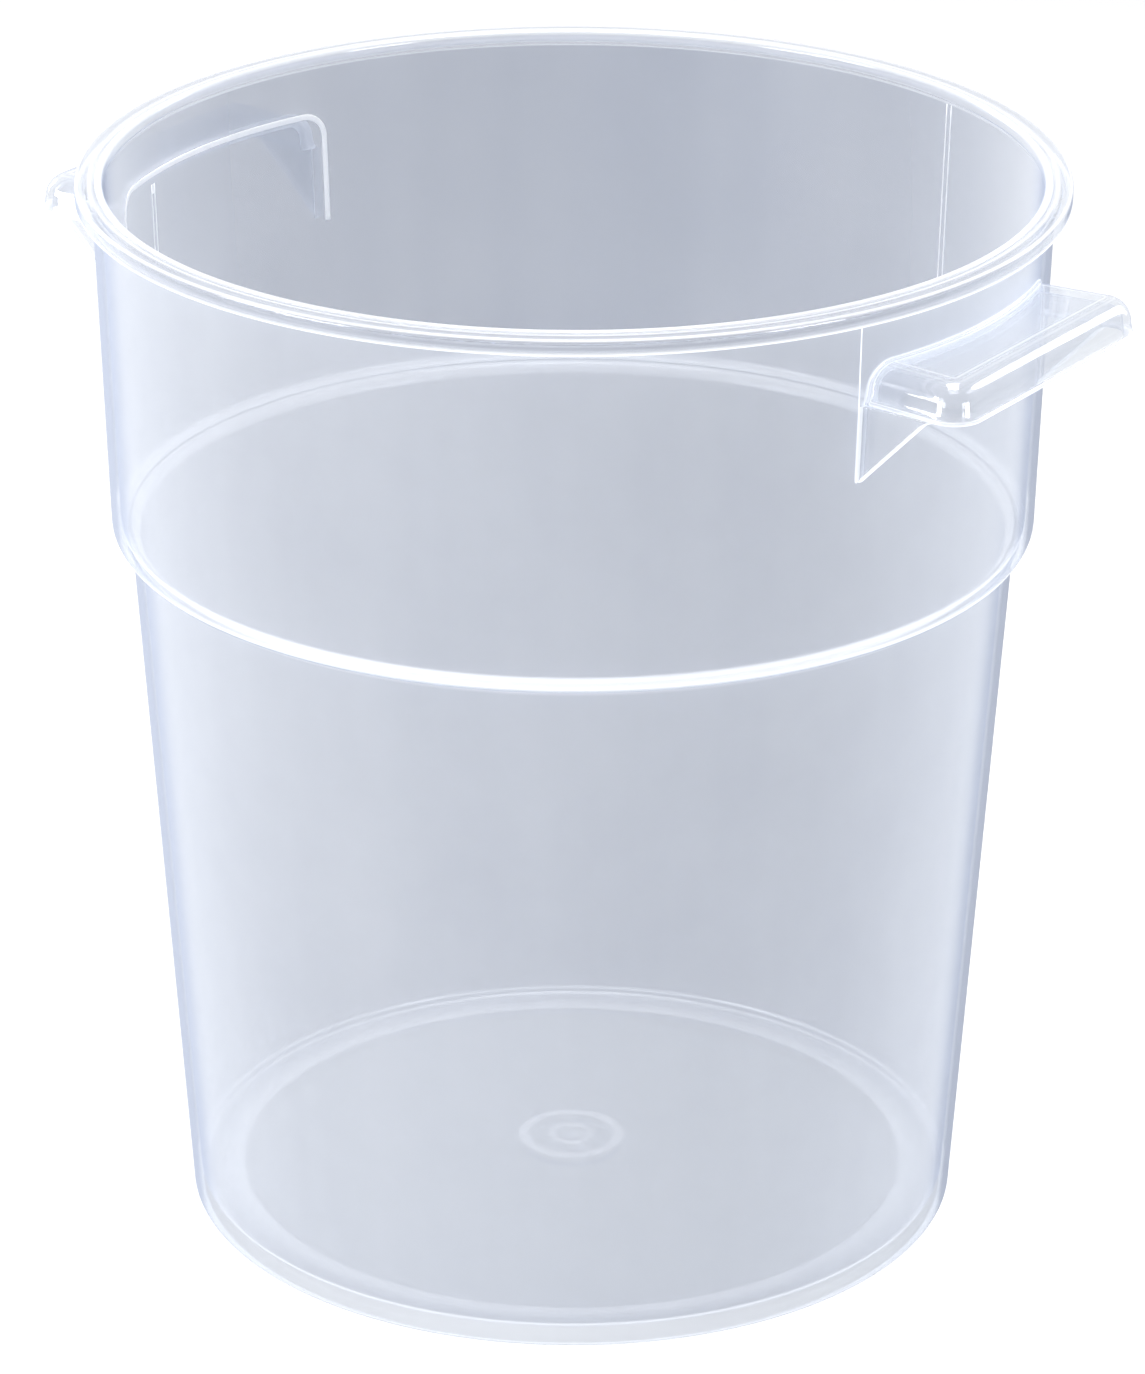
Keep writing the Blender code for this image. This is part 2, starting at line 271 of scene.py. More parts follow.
def rounded(corners, base=0.0, steps=ARC_STEPS):
    """Points (x, z, milk) through (x, z, radius, milk) corners, each rounded by an arc of its radius.

    Milk is how white the plastic is there, partly milky plastic and partly a painted highlight, one value or
    a row of them spread over the arc. It fades to the base value a little way from each corner.
    """
    points = []
    for i, (x, z, radius, milk_and_glint) in enumerate(corners):
        if radius == 0 or i in (0, len(corners) - 1):
            points.append((x, z, milk_and_glint))
            continue
        here = Vector((x, z))
        back = Vector(corners[i - 1][:2]) - here
        ahead = Vector(corners[i + 1][:2]) - here
        half = back.angle(ahead) / 2
        reach = radius / math.tan(half)
        centre = here + (back.normalized() + ahead.normalized()).normalized() * (radius / math.sin(half))
        first = here + back.normalized() * reach - centre
        last = here + ahead.normalized() * reach - centre
        if back.length > reach + 2 * FADE:
            points.append((*(here + back.normalized() * (reach + FADE)), base))
        sweep = first.angle_signed(last)
        for k in range(steps + 1):
            turned = first.copy()
            turned.rotate(Matrix.Rotation(-sweep * k / steps, 2))
            points.append((*(centre + turned), spread(milk_and_glint, k / steps)))
        if ahead.length > reach + 2 * FADE:
            points.append((*(here + ahead.normalized() * (reach + FADE)), base))
    return points


def floor_points(level, start, end):
    """Points along the domed floor from one radius to another."""
    points = []
    for i in range(FLOOR_RINGS + 1):
        radius = start + (end - start) * i / FLOOR_RINGS
        points.append((radius, level + dome_height(radius), 0.0))
    return points


def floor_section():
    """Top of the domed floor, from its middle out, with low rings over the gate mark and at its edge."""
    level = RECESS_LEVEL + WALL
    # The middle, the rings and the edge of the floor are milk white: painted highlights on milky plastic
    points = [(0.0, level + DOME_RISE, 0.9)]
    rings = ((STUB_RING_RADIUS, STUB_RING_HALF, 0.9), (GATE_RADIUS, GATE_RING_HALF, 1.0))
    for radius, half, milk_and_glint in rings:
        for step, lift, share in ((-1.3, 0.0, 0.3), (-1.0, 1.0, 1.0), (1.0, 1.0, 1.0), (1.3, 0.0, 0.0)):
            place = radius + step * half
            points.append((place, level + dome_height(place) + lift * RING_LIFT, milk_and_glint * share))
    edge = floor_points(level, GATE_RADIUS + 2 * GATE_RING_HALF, RECESS_RADIUS - 3 * EDGE_RING_HALF)
    last = RECESS_RADIUS - 2 * EDGE_RING_HALF
    return points + edge + [(last, level + dome_height(last), 1.0), (RECESS_RADIUS, level, 1.0)]


def inside_section():
    """Inner skin, from the edge of the floor up to the rim's bead."""
    level = RECESS_LEVEL + WALL
    floor_edge = lower_wall_radius(level) - WALL
    ledge = SHOULDER_LEVEL + WALL
    inner = WALL_TOP_RADIUS - WALL
    # The corners are milk white: painted highlights on milky plastic
    return rounded([
        (RECESS_RADIUS, level, 0.0, 1.0),
        (floor_edge, level, INNER_CORNER, INNER_CORNER_MILK_AND_GLINT),
        (lower_wall_radius(ledge) - WALL, ledge, SHOULDER_FILLET + WALL, 0.9),
        (SHOULDER_RADIUS - WALL, ledge, SHOULDER_CORNER - WALL, 0.9),
        (inner, BEAD_UNDER - FADE, 0.0, 0.0),
    ])


def rim_section():
    """Rim from the bead outwards, down its lip and back under the flange to the wall."""
    inner = WALL_TOP_RADIUS - WALL
    bead = inner - BEAD_OVERHANG
    # The bead, groove, edge and lip are milk white: painted highlights on milky plastic
    under = rounded([
        (inner, BEAD_UNDER - FADE, 0.0, 0.0),
        (inner, BEAD_UNDER, BEAD_OVERHANG, 0.0),
        (bead, FLANGE_UNDER, BEAD_OVERHANG, 0.2),
        (bead, HEIGHT - BEAD_RADIUS, 0.0, 0.3),
    ])
    crown = arc(bead + BEAD_RADIUS, HEIGHT - BEAD_RADIUS, BEAD_RADIUS, 180, 25)
    top = [(x, z, spread(BEAD_MILK_AND_GLINT, i / ARC_STEPS)) for i, (x, z) in enumerate(crown)]
    groove = bead + 2 * BEAD_RADIUS
    return under + top[1:] + rounded([
        (*top[-1][:2], 0.0, 0.6),
        (groove, FLANGE_TOP - GROOVE_DEPTH, GROOVE_DEPTH, 0.4),
        (groove + GROOVE_WIDTH, FLANGE_TOP, GROOVE_DEPTH, 1.0),
        (RIM_RADIUS, FLANGE_TOP, EDGE_ROUNDING, EDGE_MILK_AND_GLINT),
        (RIM_RADIUS, LIP_BOTTOM, LIP_ROUNDING, 1.0),
        (RIM_RADIUS - LIP_THICKNESS, LIP_BOTTOM, LIP_ROUNDING, 0.5),
        (RIM_RADIUS - LIP_THICKNESS, FLANGE_UNDER, FLANGE_FILLET, 0.1),
        (WALL_TOP_RADIUS, FLANGE_UNDER, FLANGE_FILLET, 0.3),
        (upper_wall_radius(LIP_BOTTOM), LIP_BOTTOM, 0.0, 0.0),
    ])[1:]


def outside_section():
    """Outer skin from under the rim, over the shoulder and round the heel."""
    return rounded([
        (upper_wall_radius(LIP_BOTTOM), LIP_BOTTOM, 0.0, 0.0),
        (SHOULDER_RADIUS, SHOULDER_LEVEL, SHOULDER_CORNER, SHOULDER_MILK_AND_GLINT),
        (LOWER_TOP_RADIUS, SHOULDER_LEVEL, SHOULDER_FILLET, 0.3),
        (HEEL_RADIUS, 0, HEEL_ROUNDING, HEEL_MILK_AND_GLINT),
        (HEEL_RADIUS - HEEL_ROUNDING - FADE, 0, 0.0, 0.0),
    ])


def foot_section():
    """Foot of the heel and its slope up to the edge of the floor."""
    recess = RECESS_RADIUS * RECESS_SHARE
    return rounded([
        (HEEL_RADIUS - HEEL_ROUNDING - FADE, 0, 0.0, 0.0),
        (HEEL_RADIUS - HEEL_ROUNDING - FOOT_FLAT, 0, FOOT_ROUNDING, FOOT_MILK_AND_GLINT),
        (RECESS_RADIUS, RECESS_LEVEL, FOOT_ROUNDING, FOOT_MILK_AND_GLINT),
        (recess, RECESS_LEVEL + dome_height(recess), 0.0, 0.0),
    ])


def underside_section():
    """Domed underside of the floor with the gate pad, its ring and the stub of the sprue."""
    pad = RECESS_LEVEL + dome_height(GATE_RADIUS) - GATE_THICKNESS
    under = floor_points(RECESS_LEVEL, RECESS_RADIUS * RECESS_SHARE, GATE_RADIUS)
    # The gate pad and the stub are milk white: painted highlights on milky plastic
    return under + rounded([
        (*under[-1][:2], 0.0, 0.5),
        (GATE_RADIUS, pad, GATE_ROUNDING, 1.0),
        (STUB_RING_RADIUS, pad, STUB_ROUNDING, 1.0),
        (STUB_RING_RADIUS - STUB_EDGE, pad - STUB_EDGE, STUB_ROUNDING, 0.8),
        (STUB_RADIUS, pad - STUB_EDGE, STUB_ROUNDING, 1.0),
        (STUB_RADIUS - STUB_EDGE, GATE_LOW.z, STUB_ROUNDING, 1.0),
        (0.0, GATE_LOW.z, 0.0, 0.9),
    ], 0.2, 3)[1:]


class Form:
    """Points, faces and the milk value of each point of a mesh in the making: its whiteness, partly milky
    plastic and partly a painted highlight.
    """

    def __init__(self):
        self.points = []
        self.milk_and_glint = []
        self.faces = []
        self.skins = []

    def row(self, points, milk_and_glint):
        start = len(self.points)
        self.points += [tuple(point) for point in points]
        self.milk_and_glint += milk_and_glint if isinstance(milk_and_glint, list) else [milk_and_glint] * len(points)
        return list(range(start, start + len(points)))

    def face(self, corners, skin=0):
        self.faces.append(tuple(corners))
        self.skins.append(skin)

    def strip(self, first, second, skin=0, closed=False):
        count = len(first) if closed else len(first) - 1
        for i in range(count):
            j = (i + 1) % len(first)
            self.face((first[i], first[j], second[j], second[i]), skin)

    def object(self, name, materials):
        mesh = bpy.data.meshes.new(name)
        mesh.from_pydata(self.points, [], self.faces)
        mesh.polygons.foreach_set("material_index", self.skins)
        # The milk value of each point, milkiness and painted highlight together, is read by the material
        layer = mesh.attributes.new("milk_and_glint", "FLOAT", "POINT")
        layer.data.foreach_set("value", self.milk_and_glint)
        work = bmesh.new()
        work.from_mesh(mesh)
        bmesh.ops.remove_doubles(work, verts=work.verts, dist=MERGE_DISTANCE)
        bmesh.ops.recalc_face_normals(work, faces=work.faces)
        work.to_mesh(mesh)
        work.free()
        mesh.shade_smooth()
        for material in materials:
            mesh.materials.append(material)
        item = bpy.data.objects.new(name, mesh)
        bpy.context.scene.collection.objects.link(item)
        return item


def build_body(materials):
    """The container without its handles, turned from its sections, with one material for each section."""
    form = Form()
    sections = (floor_section(), inside_section(), rim_section(), outside_section(), foot_section(),
                underside_section())
    previous = None
    for skin, section in enumerate(sections):
        for x, z, milk_and_glint in section:
            ring = []
            for k in range(TURN_STEPS):
                angle = math.tau * k / TURN_STEPS
                ring.append((x * math.cos(angle), x * math.sin(angle), z))
            ring = form.row(ring[:1] if x == 0 else ring, milk_and_glint)
            if previous is None:
                previous = ring
                continue
            if len(previous) == 1 or len(ring) == 1:
                fan = ring if len(previous) == 1 else previous
                tip = previous[0] if len(previous) == 1 else ring[0]
                for k in range(TURN_STEPS):
                    form.face((tip, fan[k], fan[(k + 1) % TURN_STEPS]), skin)
            else:
                form.strip(previous, ring, skin, True)
            previous = ring
    low = SHOULDER_LEVEL + SHOULDER_CORNER + WALL
    for angle in FULL_LINES:
        inner_line(form, angle, low, BEAD_UNDER - FADE)
    for angle in SHORT_LINES:
        inner_line(form, angle, low, SHELF_TOP - BLOB_LENGTH)
    inner_line(form, BLOB_ANGLE, SHELF_TOP - 2 * BLOB_LENGTH, SHELF_TOP - BLOB_LENGTH, BLOB_HALF)
    # White ridge behind the left hood's root: a painted highlight of that root seen through the wall
    root_highlight_ridge(form)
    return form.object("container_body", materials)


def wall_x(y, z):
    """Where the upper wall's outer face lies at y and z."""
    return math.sqrt(upper_wall_radius(z) ** 2 - y ** 2)


def hood_plan(inset, z, flare):
    """Plan of a hood at one level, from the root of one end round the front to the other root."""
    front = HANDLE_FRONT - inset
    side = HANDLE_SIDE - inset
    radius = max(HANDLE_CORNER - inset, CORNER_LEAST)
    centre_x, centre_y = front - radius, side - radius
    half = [(front, centre_y * i / FRONT_STEPS) for i in range(FRONT_STEPS)]
    quarter = math.pi / 2 + END_SPLAY
    for i in range(CORNER_STEPS + 1):
        angle = quarter * i / CORNER_STEPS
        half.append((centre_x + radius * math.cos(angle), centre_y + radius * math.sin(angle)))
    end_x, end_y = half[-1]
    root = end_x
    for _ in range(ROOT_PASSES):
        root = wall_x(end_y - (end_x - root) * math.tan(END_SPLAY), z) + flare
    for i in range(1, END_STEPS + 1):
        x = end_x + (root - end_x) * i / END_STEPS
        half.append((x, end_y - (end_x - x) * math.tan(END_SPLAY)))
    return [(x, -y) for x, y in reversed(half)] + half[1:]


def rounding_levels(inset, start, radius):
    """Levels (z, inset, angle) round the top edge of a hood."""
    levels = []
    for i in range(1, ROUNDING_STEPS + 1):
        angle = math.pi / 2 * i / ROUNDING_STEPS
        z = start + radius * math.sin(angle)
        levels.append((z, inset + radius * (1 - math.cos(angle)), angle))
    return levels


def outer_levels():
    """Levels of a hood's outer skin: lip, small step, skirt and rounded top."""
    start = SHELF_TOP - HANDLE_ROUNDING
    skirt = SKIRT_LIP + HANDLE_DRAFT
    levels = [
        (SKIRT_BOTTOM, LIP_EDGE, 0.0),
        (SKIRT_BOTTOM + LIP_EDGE, 0.0, 0.0),
        (SKIRT_LEDGE - LIP_EDGE, 0.0, 0.0),
        (SKIRT_LEDGE, LIP_EDGE, 0.0),
        (SKIRT_LEDGE + LIP_EDGE, SKIRT_LIP, 0.0),
        (start, skirt, 0.0),
    ]
    return levels + rounding_levels(skirt, start, HANDLE_ROUNDING)


def inner_levels():
    """Levels of the hollow under a hood, as many as the outer skin has."""
    top = SHELF_TOP - HANDLE_WALL
    radius = HANDLE_ROUNDING - HANDLE_WALL
    start = top - radius
    inset = SKIRT_LIP + HANDLE_WALL
    levels = []
    for i in range(HOLLOW_STEPS + 1):
        share = i / HOLLOW_STEPS
        levels.append((SKIRT_BOTTOM + (start - SKIRT_BOTTOM) * share, inset + HANDLE_DRAFT * share, 0.0))
    return levels + rounding_levels(inset + HANDLE_DRAFT, start, radius)


def along_wall(half_width, z, gap):
    """Points at one level along the wall between the ends of a hood, a gap away from the wall."""
    points = []
    for i in range(1, SHELF_STEPS):
        y = half_width * (2 * i / SHELF_STEPS - 1)
        points.append((wall_x(y, z) + gap, y, z))
    return points


def hood_shelf(form, top_row, level, flare, milk_and_glint):
    """Shelf of a hood inside its top row, with a narrow border. Gives its edge along the wall."""
    z, inset, _ = level
    edge = form.row(along_wall(form.points[top_row[-1]][1], z, flare), milk_and_glint)
    plan = hood_plan(inset + SHELF_BORDER, z, flare + SHELF_BORDER)
    border = form.row([(x, y, z) for x, y in plan], SHELF_MILK_AND_GLINT)
    wall_border = form.row(along_wall(plan[-1][1], z, flare + SHELF_BORDER), SHELF_MILK_AND_GLINT)
    form.strip(top_row, border)
    form.strip(edge, wall_border)
    form.face((top_row[0], edge[0], wall_border[0], border[0]))
    form.face((top_row[-1], edge[-1], wall_border[-1], border[-1]))
    form.face(border + list(reversed(wall_border)))
    return edge


def hood_root(form, base, normals, flare, outward):
    """Fillet from the root of a hood's skin on to the wall, ending a little inside it. Gives its rings."""
    rings = [base]
    for k in range(1, FLARE_STEPS + 1):
        angle = math.pi / 2 * k / FLARE_STEPS
        ring = []
        for index, (across, up) in zip(base, normals):
            _, y, z = form.points[index]
            y += outward * across * flare * (1 - math.cos(angle))
            z += outward * up * flare * (1 - math.cos(angle))
            ring.append((wall_x(y, z) + flare * (1 - math.sin(angle)), y, z))
        rings.append(form.row(ring, FLARE_MILK_AND_GLINT[k - 1]))
    buried = []
    for index in rings[-1]:
        _, y, z = form.points[index]
        buried.append((wall_x(y, z) - ROOT_DEPTH, y, z))
    # The buried ring is milk white: thick plastic at the root, with a painted highlight there
    rings.append(form.row(buried, 1.0))
    for first, second in zip(rings, rings[1:]):
        form.strip(first, second)
    return rings


def hood_skin(form, levels, flare, outward, milks_and_glints):
    """One skin of a hood with its shelf and its fillet on to the wall. Gives its lowest row and its root."""
    rows = []
    for (z, inset, _), milk_and_glint in zip(levels, milks_and_glints):
        plan = hood_plan(inset, z, flare)
        rows.append(form.row([(x, y, z) for x, y in plan], milk_and_glint))
    for lower, upper in zip(rows, rows[1:]):
        form.strip(lower, upper)
    edge = hood_shelf(form, rows[-1], levels[-1], flare, milks_and_glints[-1])
    base = [row[0] for row in rows] + edge + [row[-1] for row in reversed(rows)]
    normals = [(-math.cos(a), math.sin(a)) for _, _, a in levels] + [(0.0, 1.0)] * len(edge)
    normals += [(math.cos(a), math.sin(a)) for _, _, a in reversed(levels)]
    return rows[0], hood_root(form, base, normals, flare, outward)


def gusset_edge():
    """Points (x, z) along a gusset's slanted edge, from its apex on the wall to the hood's lip."""
    wall = wall_x(GUSSET_SIDE, SKIRT_BOTTOM)
    slant = math.atan2(GUSSET_DEPTH, GUSSET_REACH)
    tip = wall + GUSSET_REACH
    tangent = GUSSET_FILLET * math.tan(slant / 2)
    start = 90 + math.degrees(slant)
    curve = arc(tip + tangent, SKIRT_BOTTOM - GUSSET_FILLET, GUSSET_FILLET, start, 90)
    first_x, first_z = curve[0]
    low = wall_x(GUSSET_SIDE, SKIRT_BOTTOM - GUSSET_DEPTH)
    apex = (low, first_z - (first_x - low) * math.tan(slant))
    line = [(apex[0] + (first_x - apex[0]) * t, apex[1] + (first_z - apex[1]) * t)
            for t in (i / GUSSET_STEPS for i in range(1, GUSSET_STEPS))]
    return line + curve


def lip_y(x):
    """Half width of a hood's lip at distance x from the axis plane, along its splayed ends."""
    plan = hood_plan(0.0, SKIRT_BOTTOM, 0.0)
    end_x, end_y = plan[END_STEPS]
    return abs(end_y) - (end_x - x) * math.tan(END_SPLAY)


def gusset_section(reach):
    """Half of a gusset's level section, as points (out from the wall, over its face, milk)."""
    flare = min(GUSSET_FLARE, reach / 2)
    nose = min(GUSSET_THICKNESS / 2, reach - flare)
    fade = min(GUSSET_FADE, (reach - flare - nose) / 3)
    # The flare and the nose of a gusset are milk white: painted highlights on milky plastic
    half = []
    for k in range(FLARE_STEPS, -1, -1):
        angle = math.pi / 2 * k / FLARE_STEPS
        half.append((flare * (1 - math.sin(angle)), flare * (1 - math.cos(angle)), 0.9))
    half.append((flare + fade, 0.0, FACE_MILK_AND_GLINT))
    half.append((reach - nose - fade, 0.0, FACE_MILK_AND_GLINT))
    for k in range(FLARE_STEPS + 1):
        angle = math.pi / 2 * k / FLARE_STEPS
        over = GUSSET_THICKNESS / 2 * (math.cos(angle) - 1)
        half.append((reach - nose + nose * math.sin(angle), over, 1.0))
    return half


def build_gusset(form, side):
    """Plate under one end of a hood: a row of level sections, each from wall to nose and back."""
    foot = wall_x(GUSSET_SIDE, SKIRT_BOTTOM)
    lean = (lip_y(foot + GUSSET_REACH) - GUSSET_SIDE) / GUSSET_REACH
    rows = []
    for edge_x, z in gusset_edge():
        root = wall_x(GUSSET_SIDE, z)
        there = gusset_section(max(edge_x - root, GUSSET_FLARE / 2))
        back = there[-2::-1]
        row = []
        for out, over, _ in there:
            face = GUSSET_SIDE + (root + out - foot) * lean
            row.append((root + out, side * (face + over), z))
        for out, over, _ in back:
            face = GUSSET_SIDE + (root + out - foot) * lean - GUSSET_THICKNESS
            row.append((root + out, side * (face - over), z))
        rows.append(form.row(row, [milk_and_glint for _, _, milk_and_glint in there + back]))
    for lower, upper in zip(rows, rows[1:]):
        form.strip(lower, upper)
    form.face(rows[-1])
    form.face(rows[0])


def build_line(form, foot, outwards, half=LINE_HALF):
    """Thin ridge on the wall, laid on the points (x, y, z) of its foot, standing along the way given."""
    rows = []
    places = [Vector(place) for place in foot]
    for i, place in enumerate(places):
        run = places[min(i + 1, len(places) - 1)] - places[max(i - 1, 0)]
        out = Vector((place.x, place.y, 0)).normalized() * outwards
        along = out.cross(run).normalized()
        row = []
        for k in range(LINE_ARC_STEPS + 1):
            angle = math.pi * k / LINE_ARC_STEPS
            stand = math.sin(angle) * 2 * LINE_STAND - LINE_STAND
            row.append(place + along * math.cos(angle) * half + out * stand)
        # Every ridge is milk white all over: a painted highlight along it
        rows.append(form.row(row, 1.0))
    for lower, upper in zip(rows, rows[1:]):
        form.strip(lower, upper, closed=True)
    form.face(rows[0])
    form.face(rows[-1])


def inner_line(form, angle, low, high, half=LINE_HALF):
    """Witness line up the inner face of the upper wall."""
    foot = []
    for i in range(LINE_STEPS + 1):
        z = low + (high - low) * i / LINE_STEPS
        radius = upper_wall_radius(z) - WALL
        foot.append((radius * math.cos(angle), radius * math.sin(angle), z))
    build_line(form, foot, -1, half)


def root_highlight_ridge(form):
    """White ridge on the inner face behind the left hood's root, from one gusset past the shelf to the
    other: a painted highlight of the root seen through the wall.
    """
    low = SKIRT_BOTTOM - GUSSET_DEPTH
    rise = SHELF_TOP - ROOT_HIGHLIGHT_CORNER - low
    path = [(GUSSET_SIDE, low + rise * i / LINE_STEPS) for i in range(LINE_STEPS)]
    path += arc(GUSSET_SIDE - ROOT_HIGHLIGHT_CORNER, SHELF_TOP - ROOT_HIGHLIGHT_CORNER, ROOT_HIGHLIGHT_CORNER, 0, 90)
    reach = path[-1][0]
    path += [(reach * (1 - i / LINE_STEPS), SHELF_TOP) for i in range(1, LINE_STEPS)]
    whole = path + [(0.0, SHELF_TOP)] + [(-y, z) for y, z in reversed(path)]
    foot = []
    for y, z in whole:
        x = math.sqrt((upper_wall_radius(z) - WALL) ** 2 - y ** 2)
        foot.append((-x, -y, z))
    build_line(form, foot, -1, ROOT_LINE_HALF)


def handle_line(form, side):
    """Witness line up the outer face of the wall, from the apex of a gusset to the flange."""
    low = SKIRT_BOTTOM - GUSSET_DEPTH
    foot = []
    for i in range(LINE_STEPS + 1):
        z = low + (FLANGE_UNDER - low) * i / LINE_STEPS
        y = GUSSET_SIDE + (HANDLE_LINE_SIDE - GUSSET_SIDE) * i / LINE_STEPS
        foot.append((wall_x(y, z), side * y, z))
    build_line(form, foot, 1)


def build_handle(name, flip, materials):
    """Hood handle: outer skin, hollow, closed lip and root, and a gusset under each end."""
    form = Form()
    outer = outer_levels()
    face = [FACE_MILK_AND_GLINT] * (len(outer) - len(LIP_MILK_AND_GLINT) - len(TOP_EDGE_MILK_AND_GLINT))
    low, outer_rings = hood_skin(form, outer, OUTER_FLARE, 1, [*LIP_MILK_AND_GLINT, *face, *TOP_EDGE_MILK_AND_GLINT])
    inside = inner_levels()
    hollow, inner_rings = hood_skin(form, inside, INNER_FLARE, -1, [HOLLOW_MILK_AND_GLINT] * len(inside))
    form.strip(low, hollow)
    form.strip(outer_rings[-1], inner_rings[-1])
    for end in (0, -1):
        form.face([ring[end] for ring in outer_rings] + [ring[end] for ring in reversed(inner_rings)])
    for side in (-1, 1):
        build_gusset(form, side)
    if flip:
        form.points = [(-x, -y, z) for x, y, z in form.points]
    else:
        handle_line(form, -1)
    return form.object(name, materials)


class Nodes:
    """Short calls for a material's node tree."""

    def __init__(self, material):
        material.use_nodes = True
        self.tree = material.node_tree
        self.tree.nodes.clear()

    def add(self, kind, **settings):
        node = self.tree.nodes.new(kind)
        for name, value in settings.items():
            setattr(node, name, value)
        return node

    def link(self, source, target):
        self.tree.links.new(source, target)

    def values(self, node, **inputs):
        for name, value in inputs.items():
            node.inputs[name.replace("_", " ")].default_value = value
        return node

    def put(self, term, target):
        """Link a socket to a target, or set the target to a number or colour."""
        if isinstance(term, bpy.types.NodeSocket):
            self.link(term, target)
        else:
            target.default_value = term

    def math(self, operation, *terms, clamp=False):
        node = self.add("ShaderNodeMath", operation=operation, use_clamp=clamp)
        for term, target in zip(terms, node.inputs):
            self.put(term, target)
        return node.outputs[0]

    def ranged(self, source, low, high, start=0.0, end=1.0, kind="LINEAR"):
        """Source taken from the range start to end into the range low to high."""
        node = self.add("ShaderNodeMapRange", interpolation_type=kind)
        limits = (("From Min", start), ("From Max", end), ("To Min", low), ("To Max", high))
        for name, value in limits:
            node.inputs[name].default_value = value
        self.link(source, node.inputs["Value"])
        return node.outputs["Result"]

    def noise(self, place, **inputs):
        node = self.values(self.add("ShaderNodeTexNoise"), **inputs)
        self.link(place, node.inputs["Vector"])
        return node.outputs["Fac"]

    def colour(self, share, first, second):
        """Colour from first to second by a share."""
        node = self.add("ShaderNodeMix", data_type="RGBA")
        self.put(share, node.inputs["Factor"])
        self.put(first, node.inputs["A"])
        self.put(second, node.inputs["B"])
        return node.outputs["Result"]

    def blend(self, share, first, second):
        """Shader from first to second by a share."""
        node = self.add("ShaderNodeMixShader")
        self.link(share, node.inputs["Fac"])
        self.link(first, node.inputs[1])
        self.link(second, node.inputs[2])
        return node.outputs[0]


def haze_share(n, coords, cloud, curve, haze_face, haze_edge):
    """How much of the surface is haze: more seen along it, with slow clouds and upright streaks."""
    upright = n.add("ShaderNodeMapping")
    upright.inputs["Scale"].default_value = (1.0, 1.0, STREAK_STRETCH)
    n.link(coords, upright.inputs["Vector"])
    streak = n.noise(upright.outputs["Vector"], Scale=STREAK_SCALE, Detail=2.0, Roughness=0.5)
    uneven = n.math("ADD", n.ranged(cloud, -CLOUD_AMOUNT, CLOUD_AMOUNT, NOISE_LOW, NOISE_HIGH),
                    n.ranged(streak, -STREAK_AMOUNT, STREAK_AMOUNT, NOISE_LOW, NOISE_HIGH))
    return n.math("ADD", n.ranged(curve, haze_face, haze_edge), uneven, clamp=True)


def moulded_skin(n, coords, cloud, colour, roughness, ior, gloss):
    """Glossy moulded skin of uneven roughness with a fine ripple."""
    bump = n.add("ShaderNodeBump")
    n.values(bump, Strength=RIPPLE_STRENGTH, Distance=RIPPLE_DEPTH)
    n.link(n.noise(coords, Scale=RIPPLE_SCALE, Detail=2.0), bump.inputs["Height"])
    skin = n.add("ShaderNodeBsdfPrincipled")
    n.link(colour, skin.inputs["Base Color"])
    n.link(n.ranged(cloud, *roughness), skin.inputs["Roughness"])
    n.link(bump.outputs["Normal"], skin.inputs["Normal"])
    skin.inputs["IOR"].default_value = ior
    skin.inputs["Specular IOR Level"].default_value = gloss
    return skin.outputs[0]


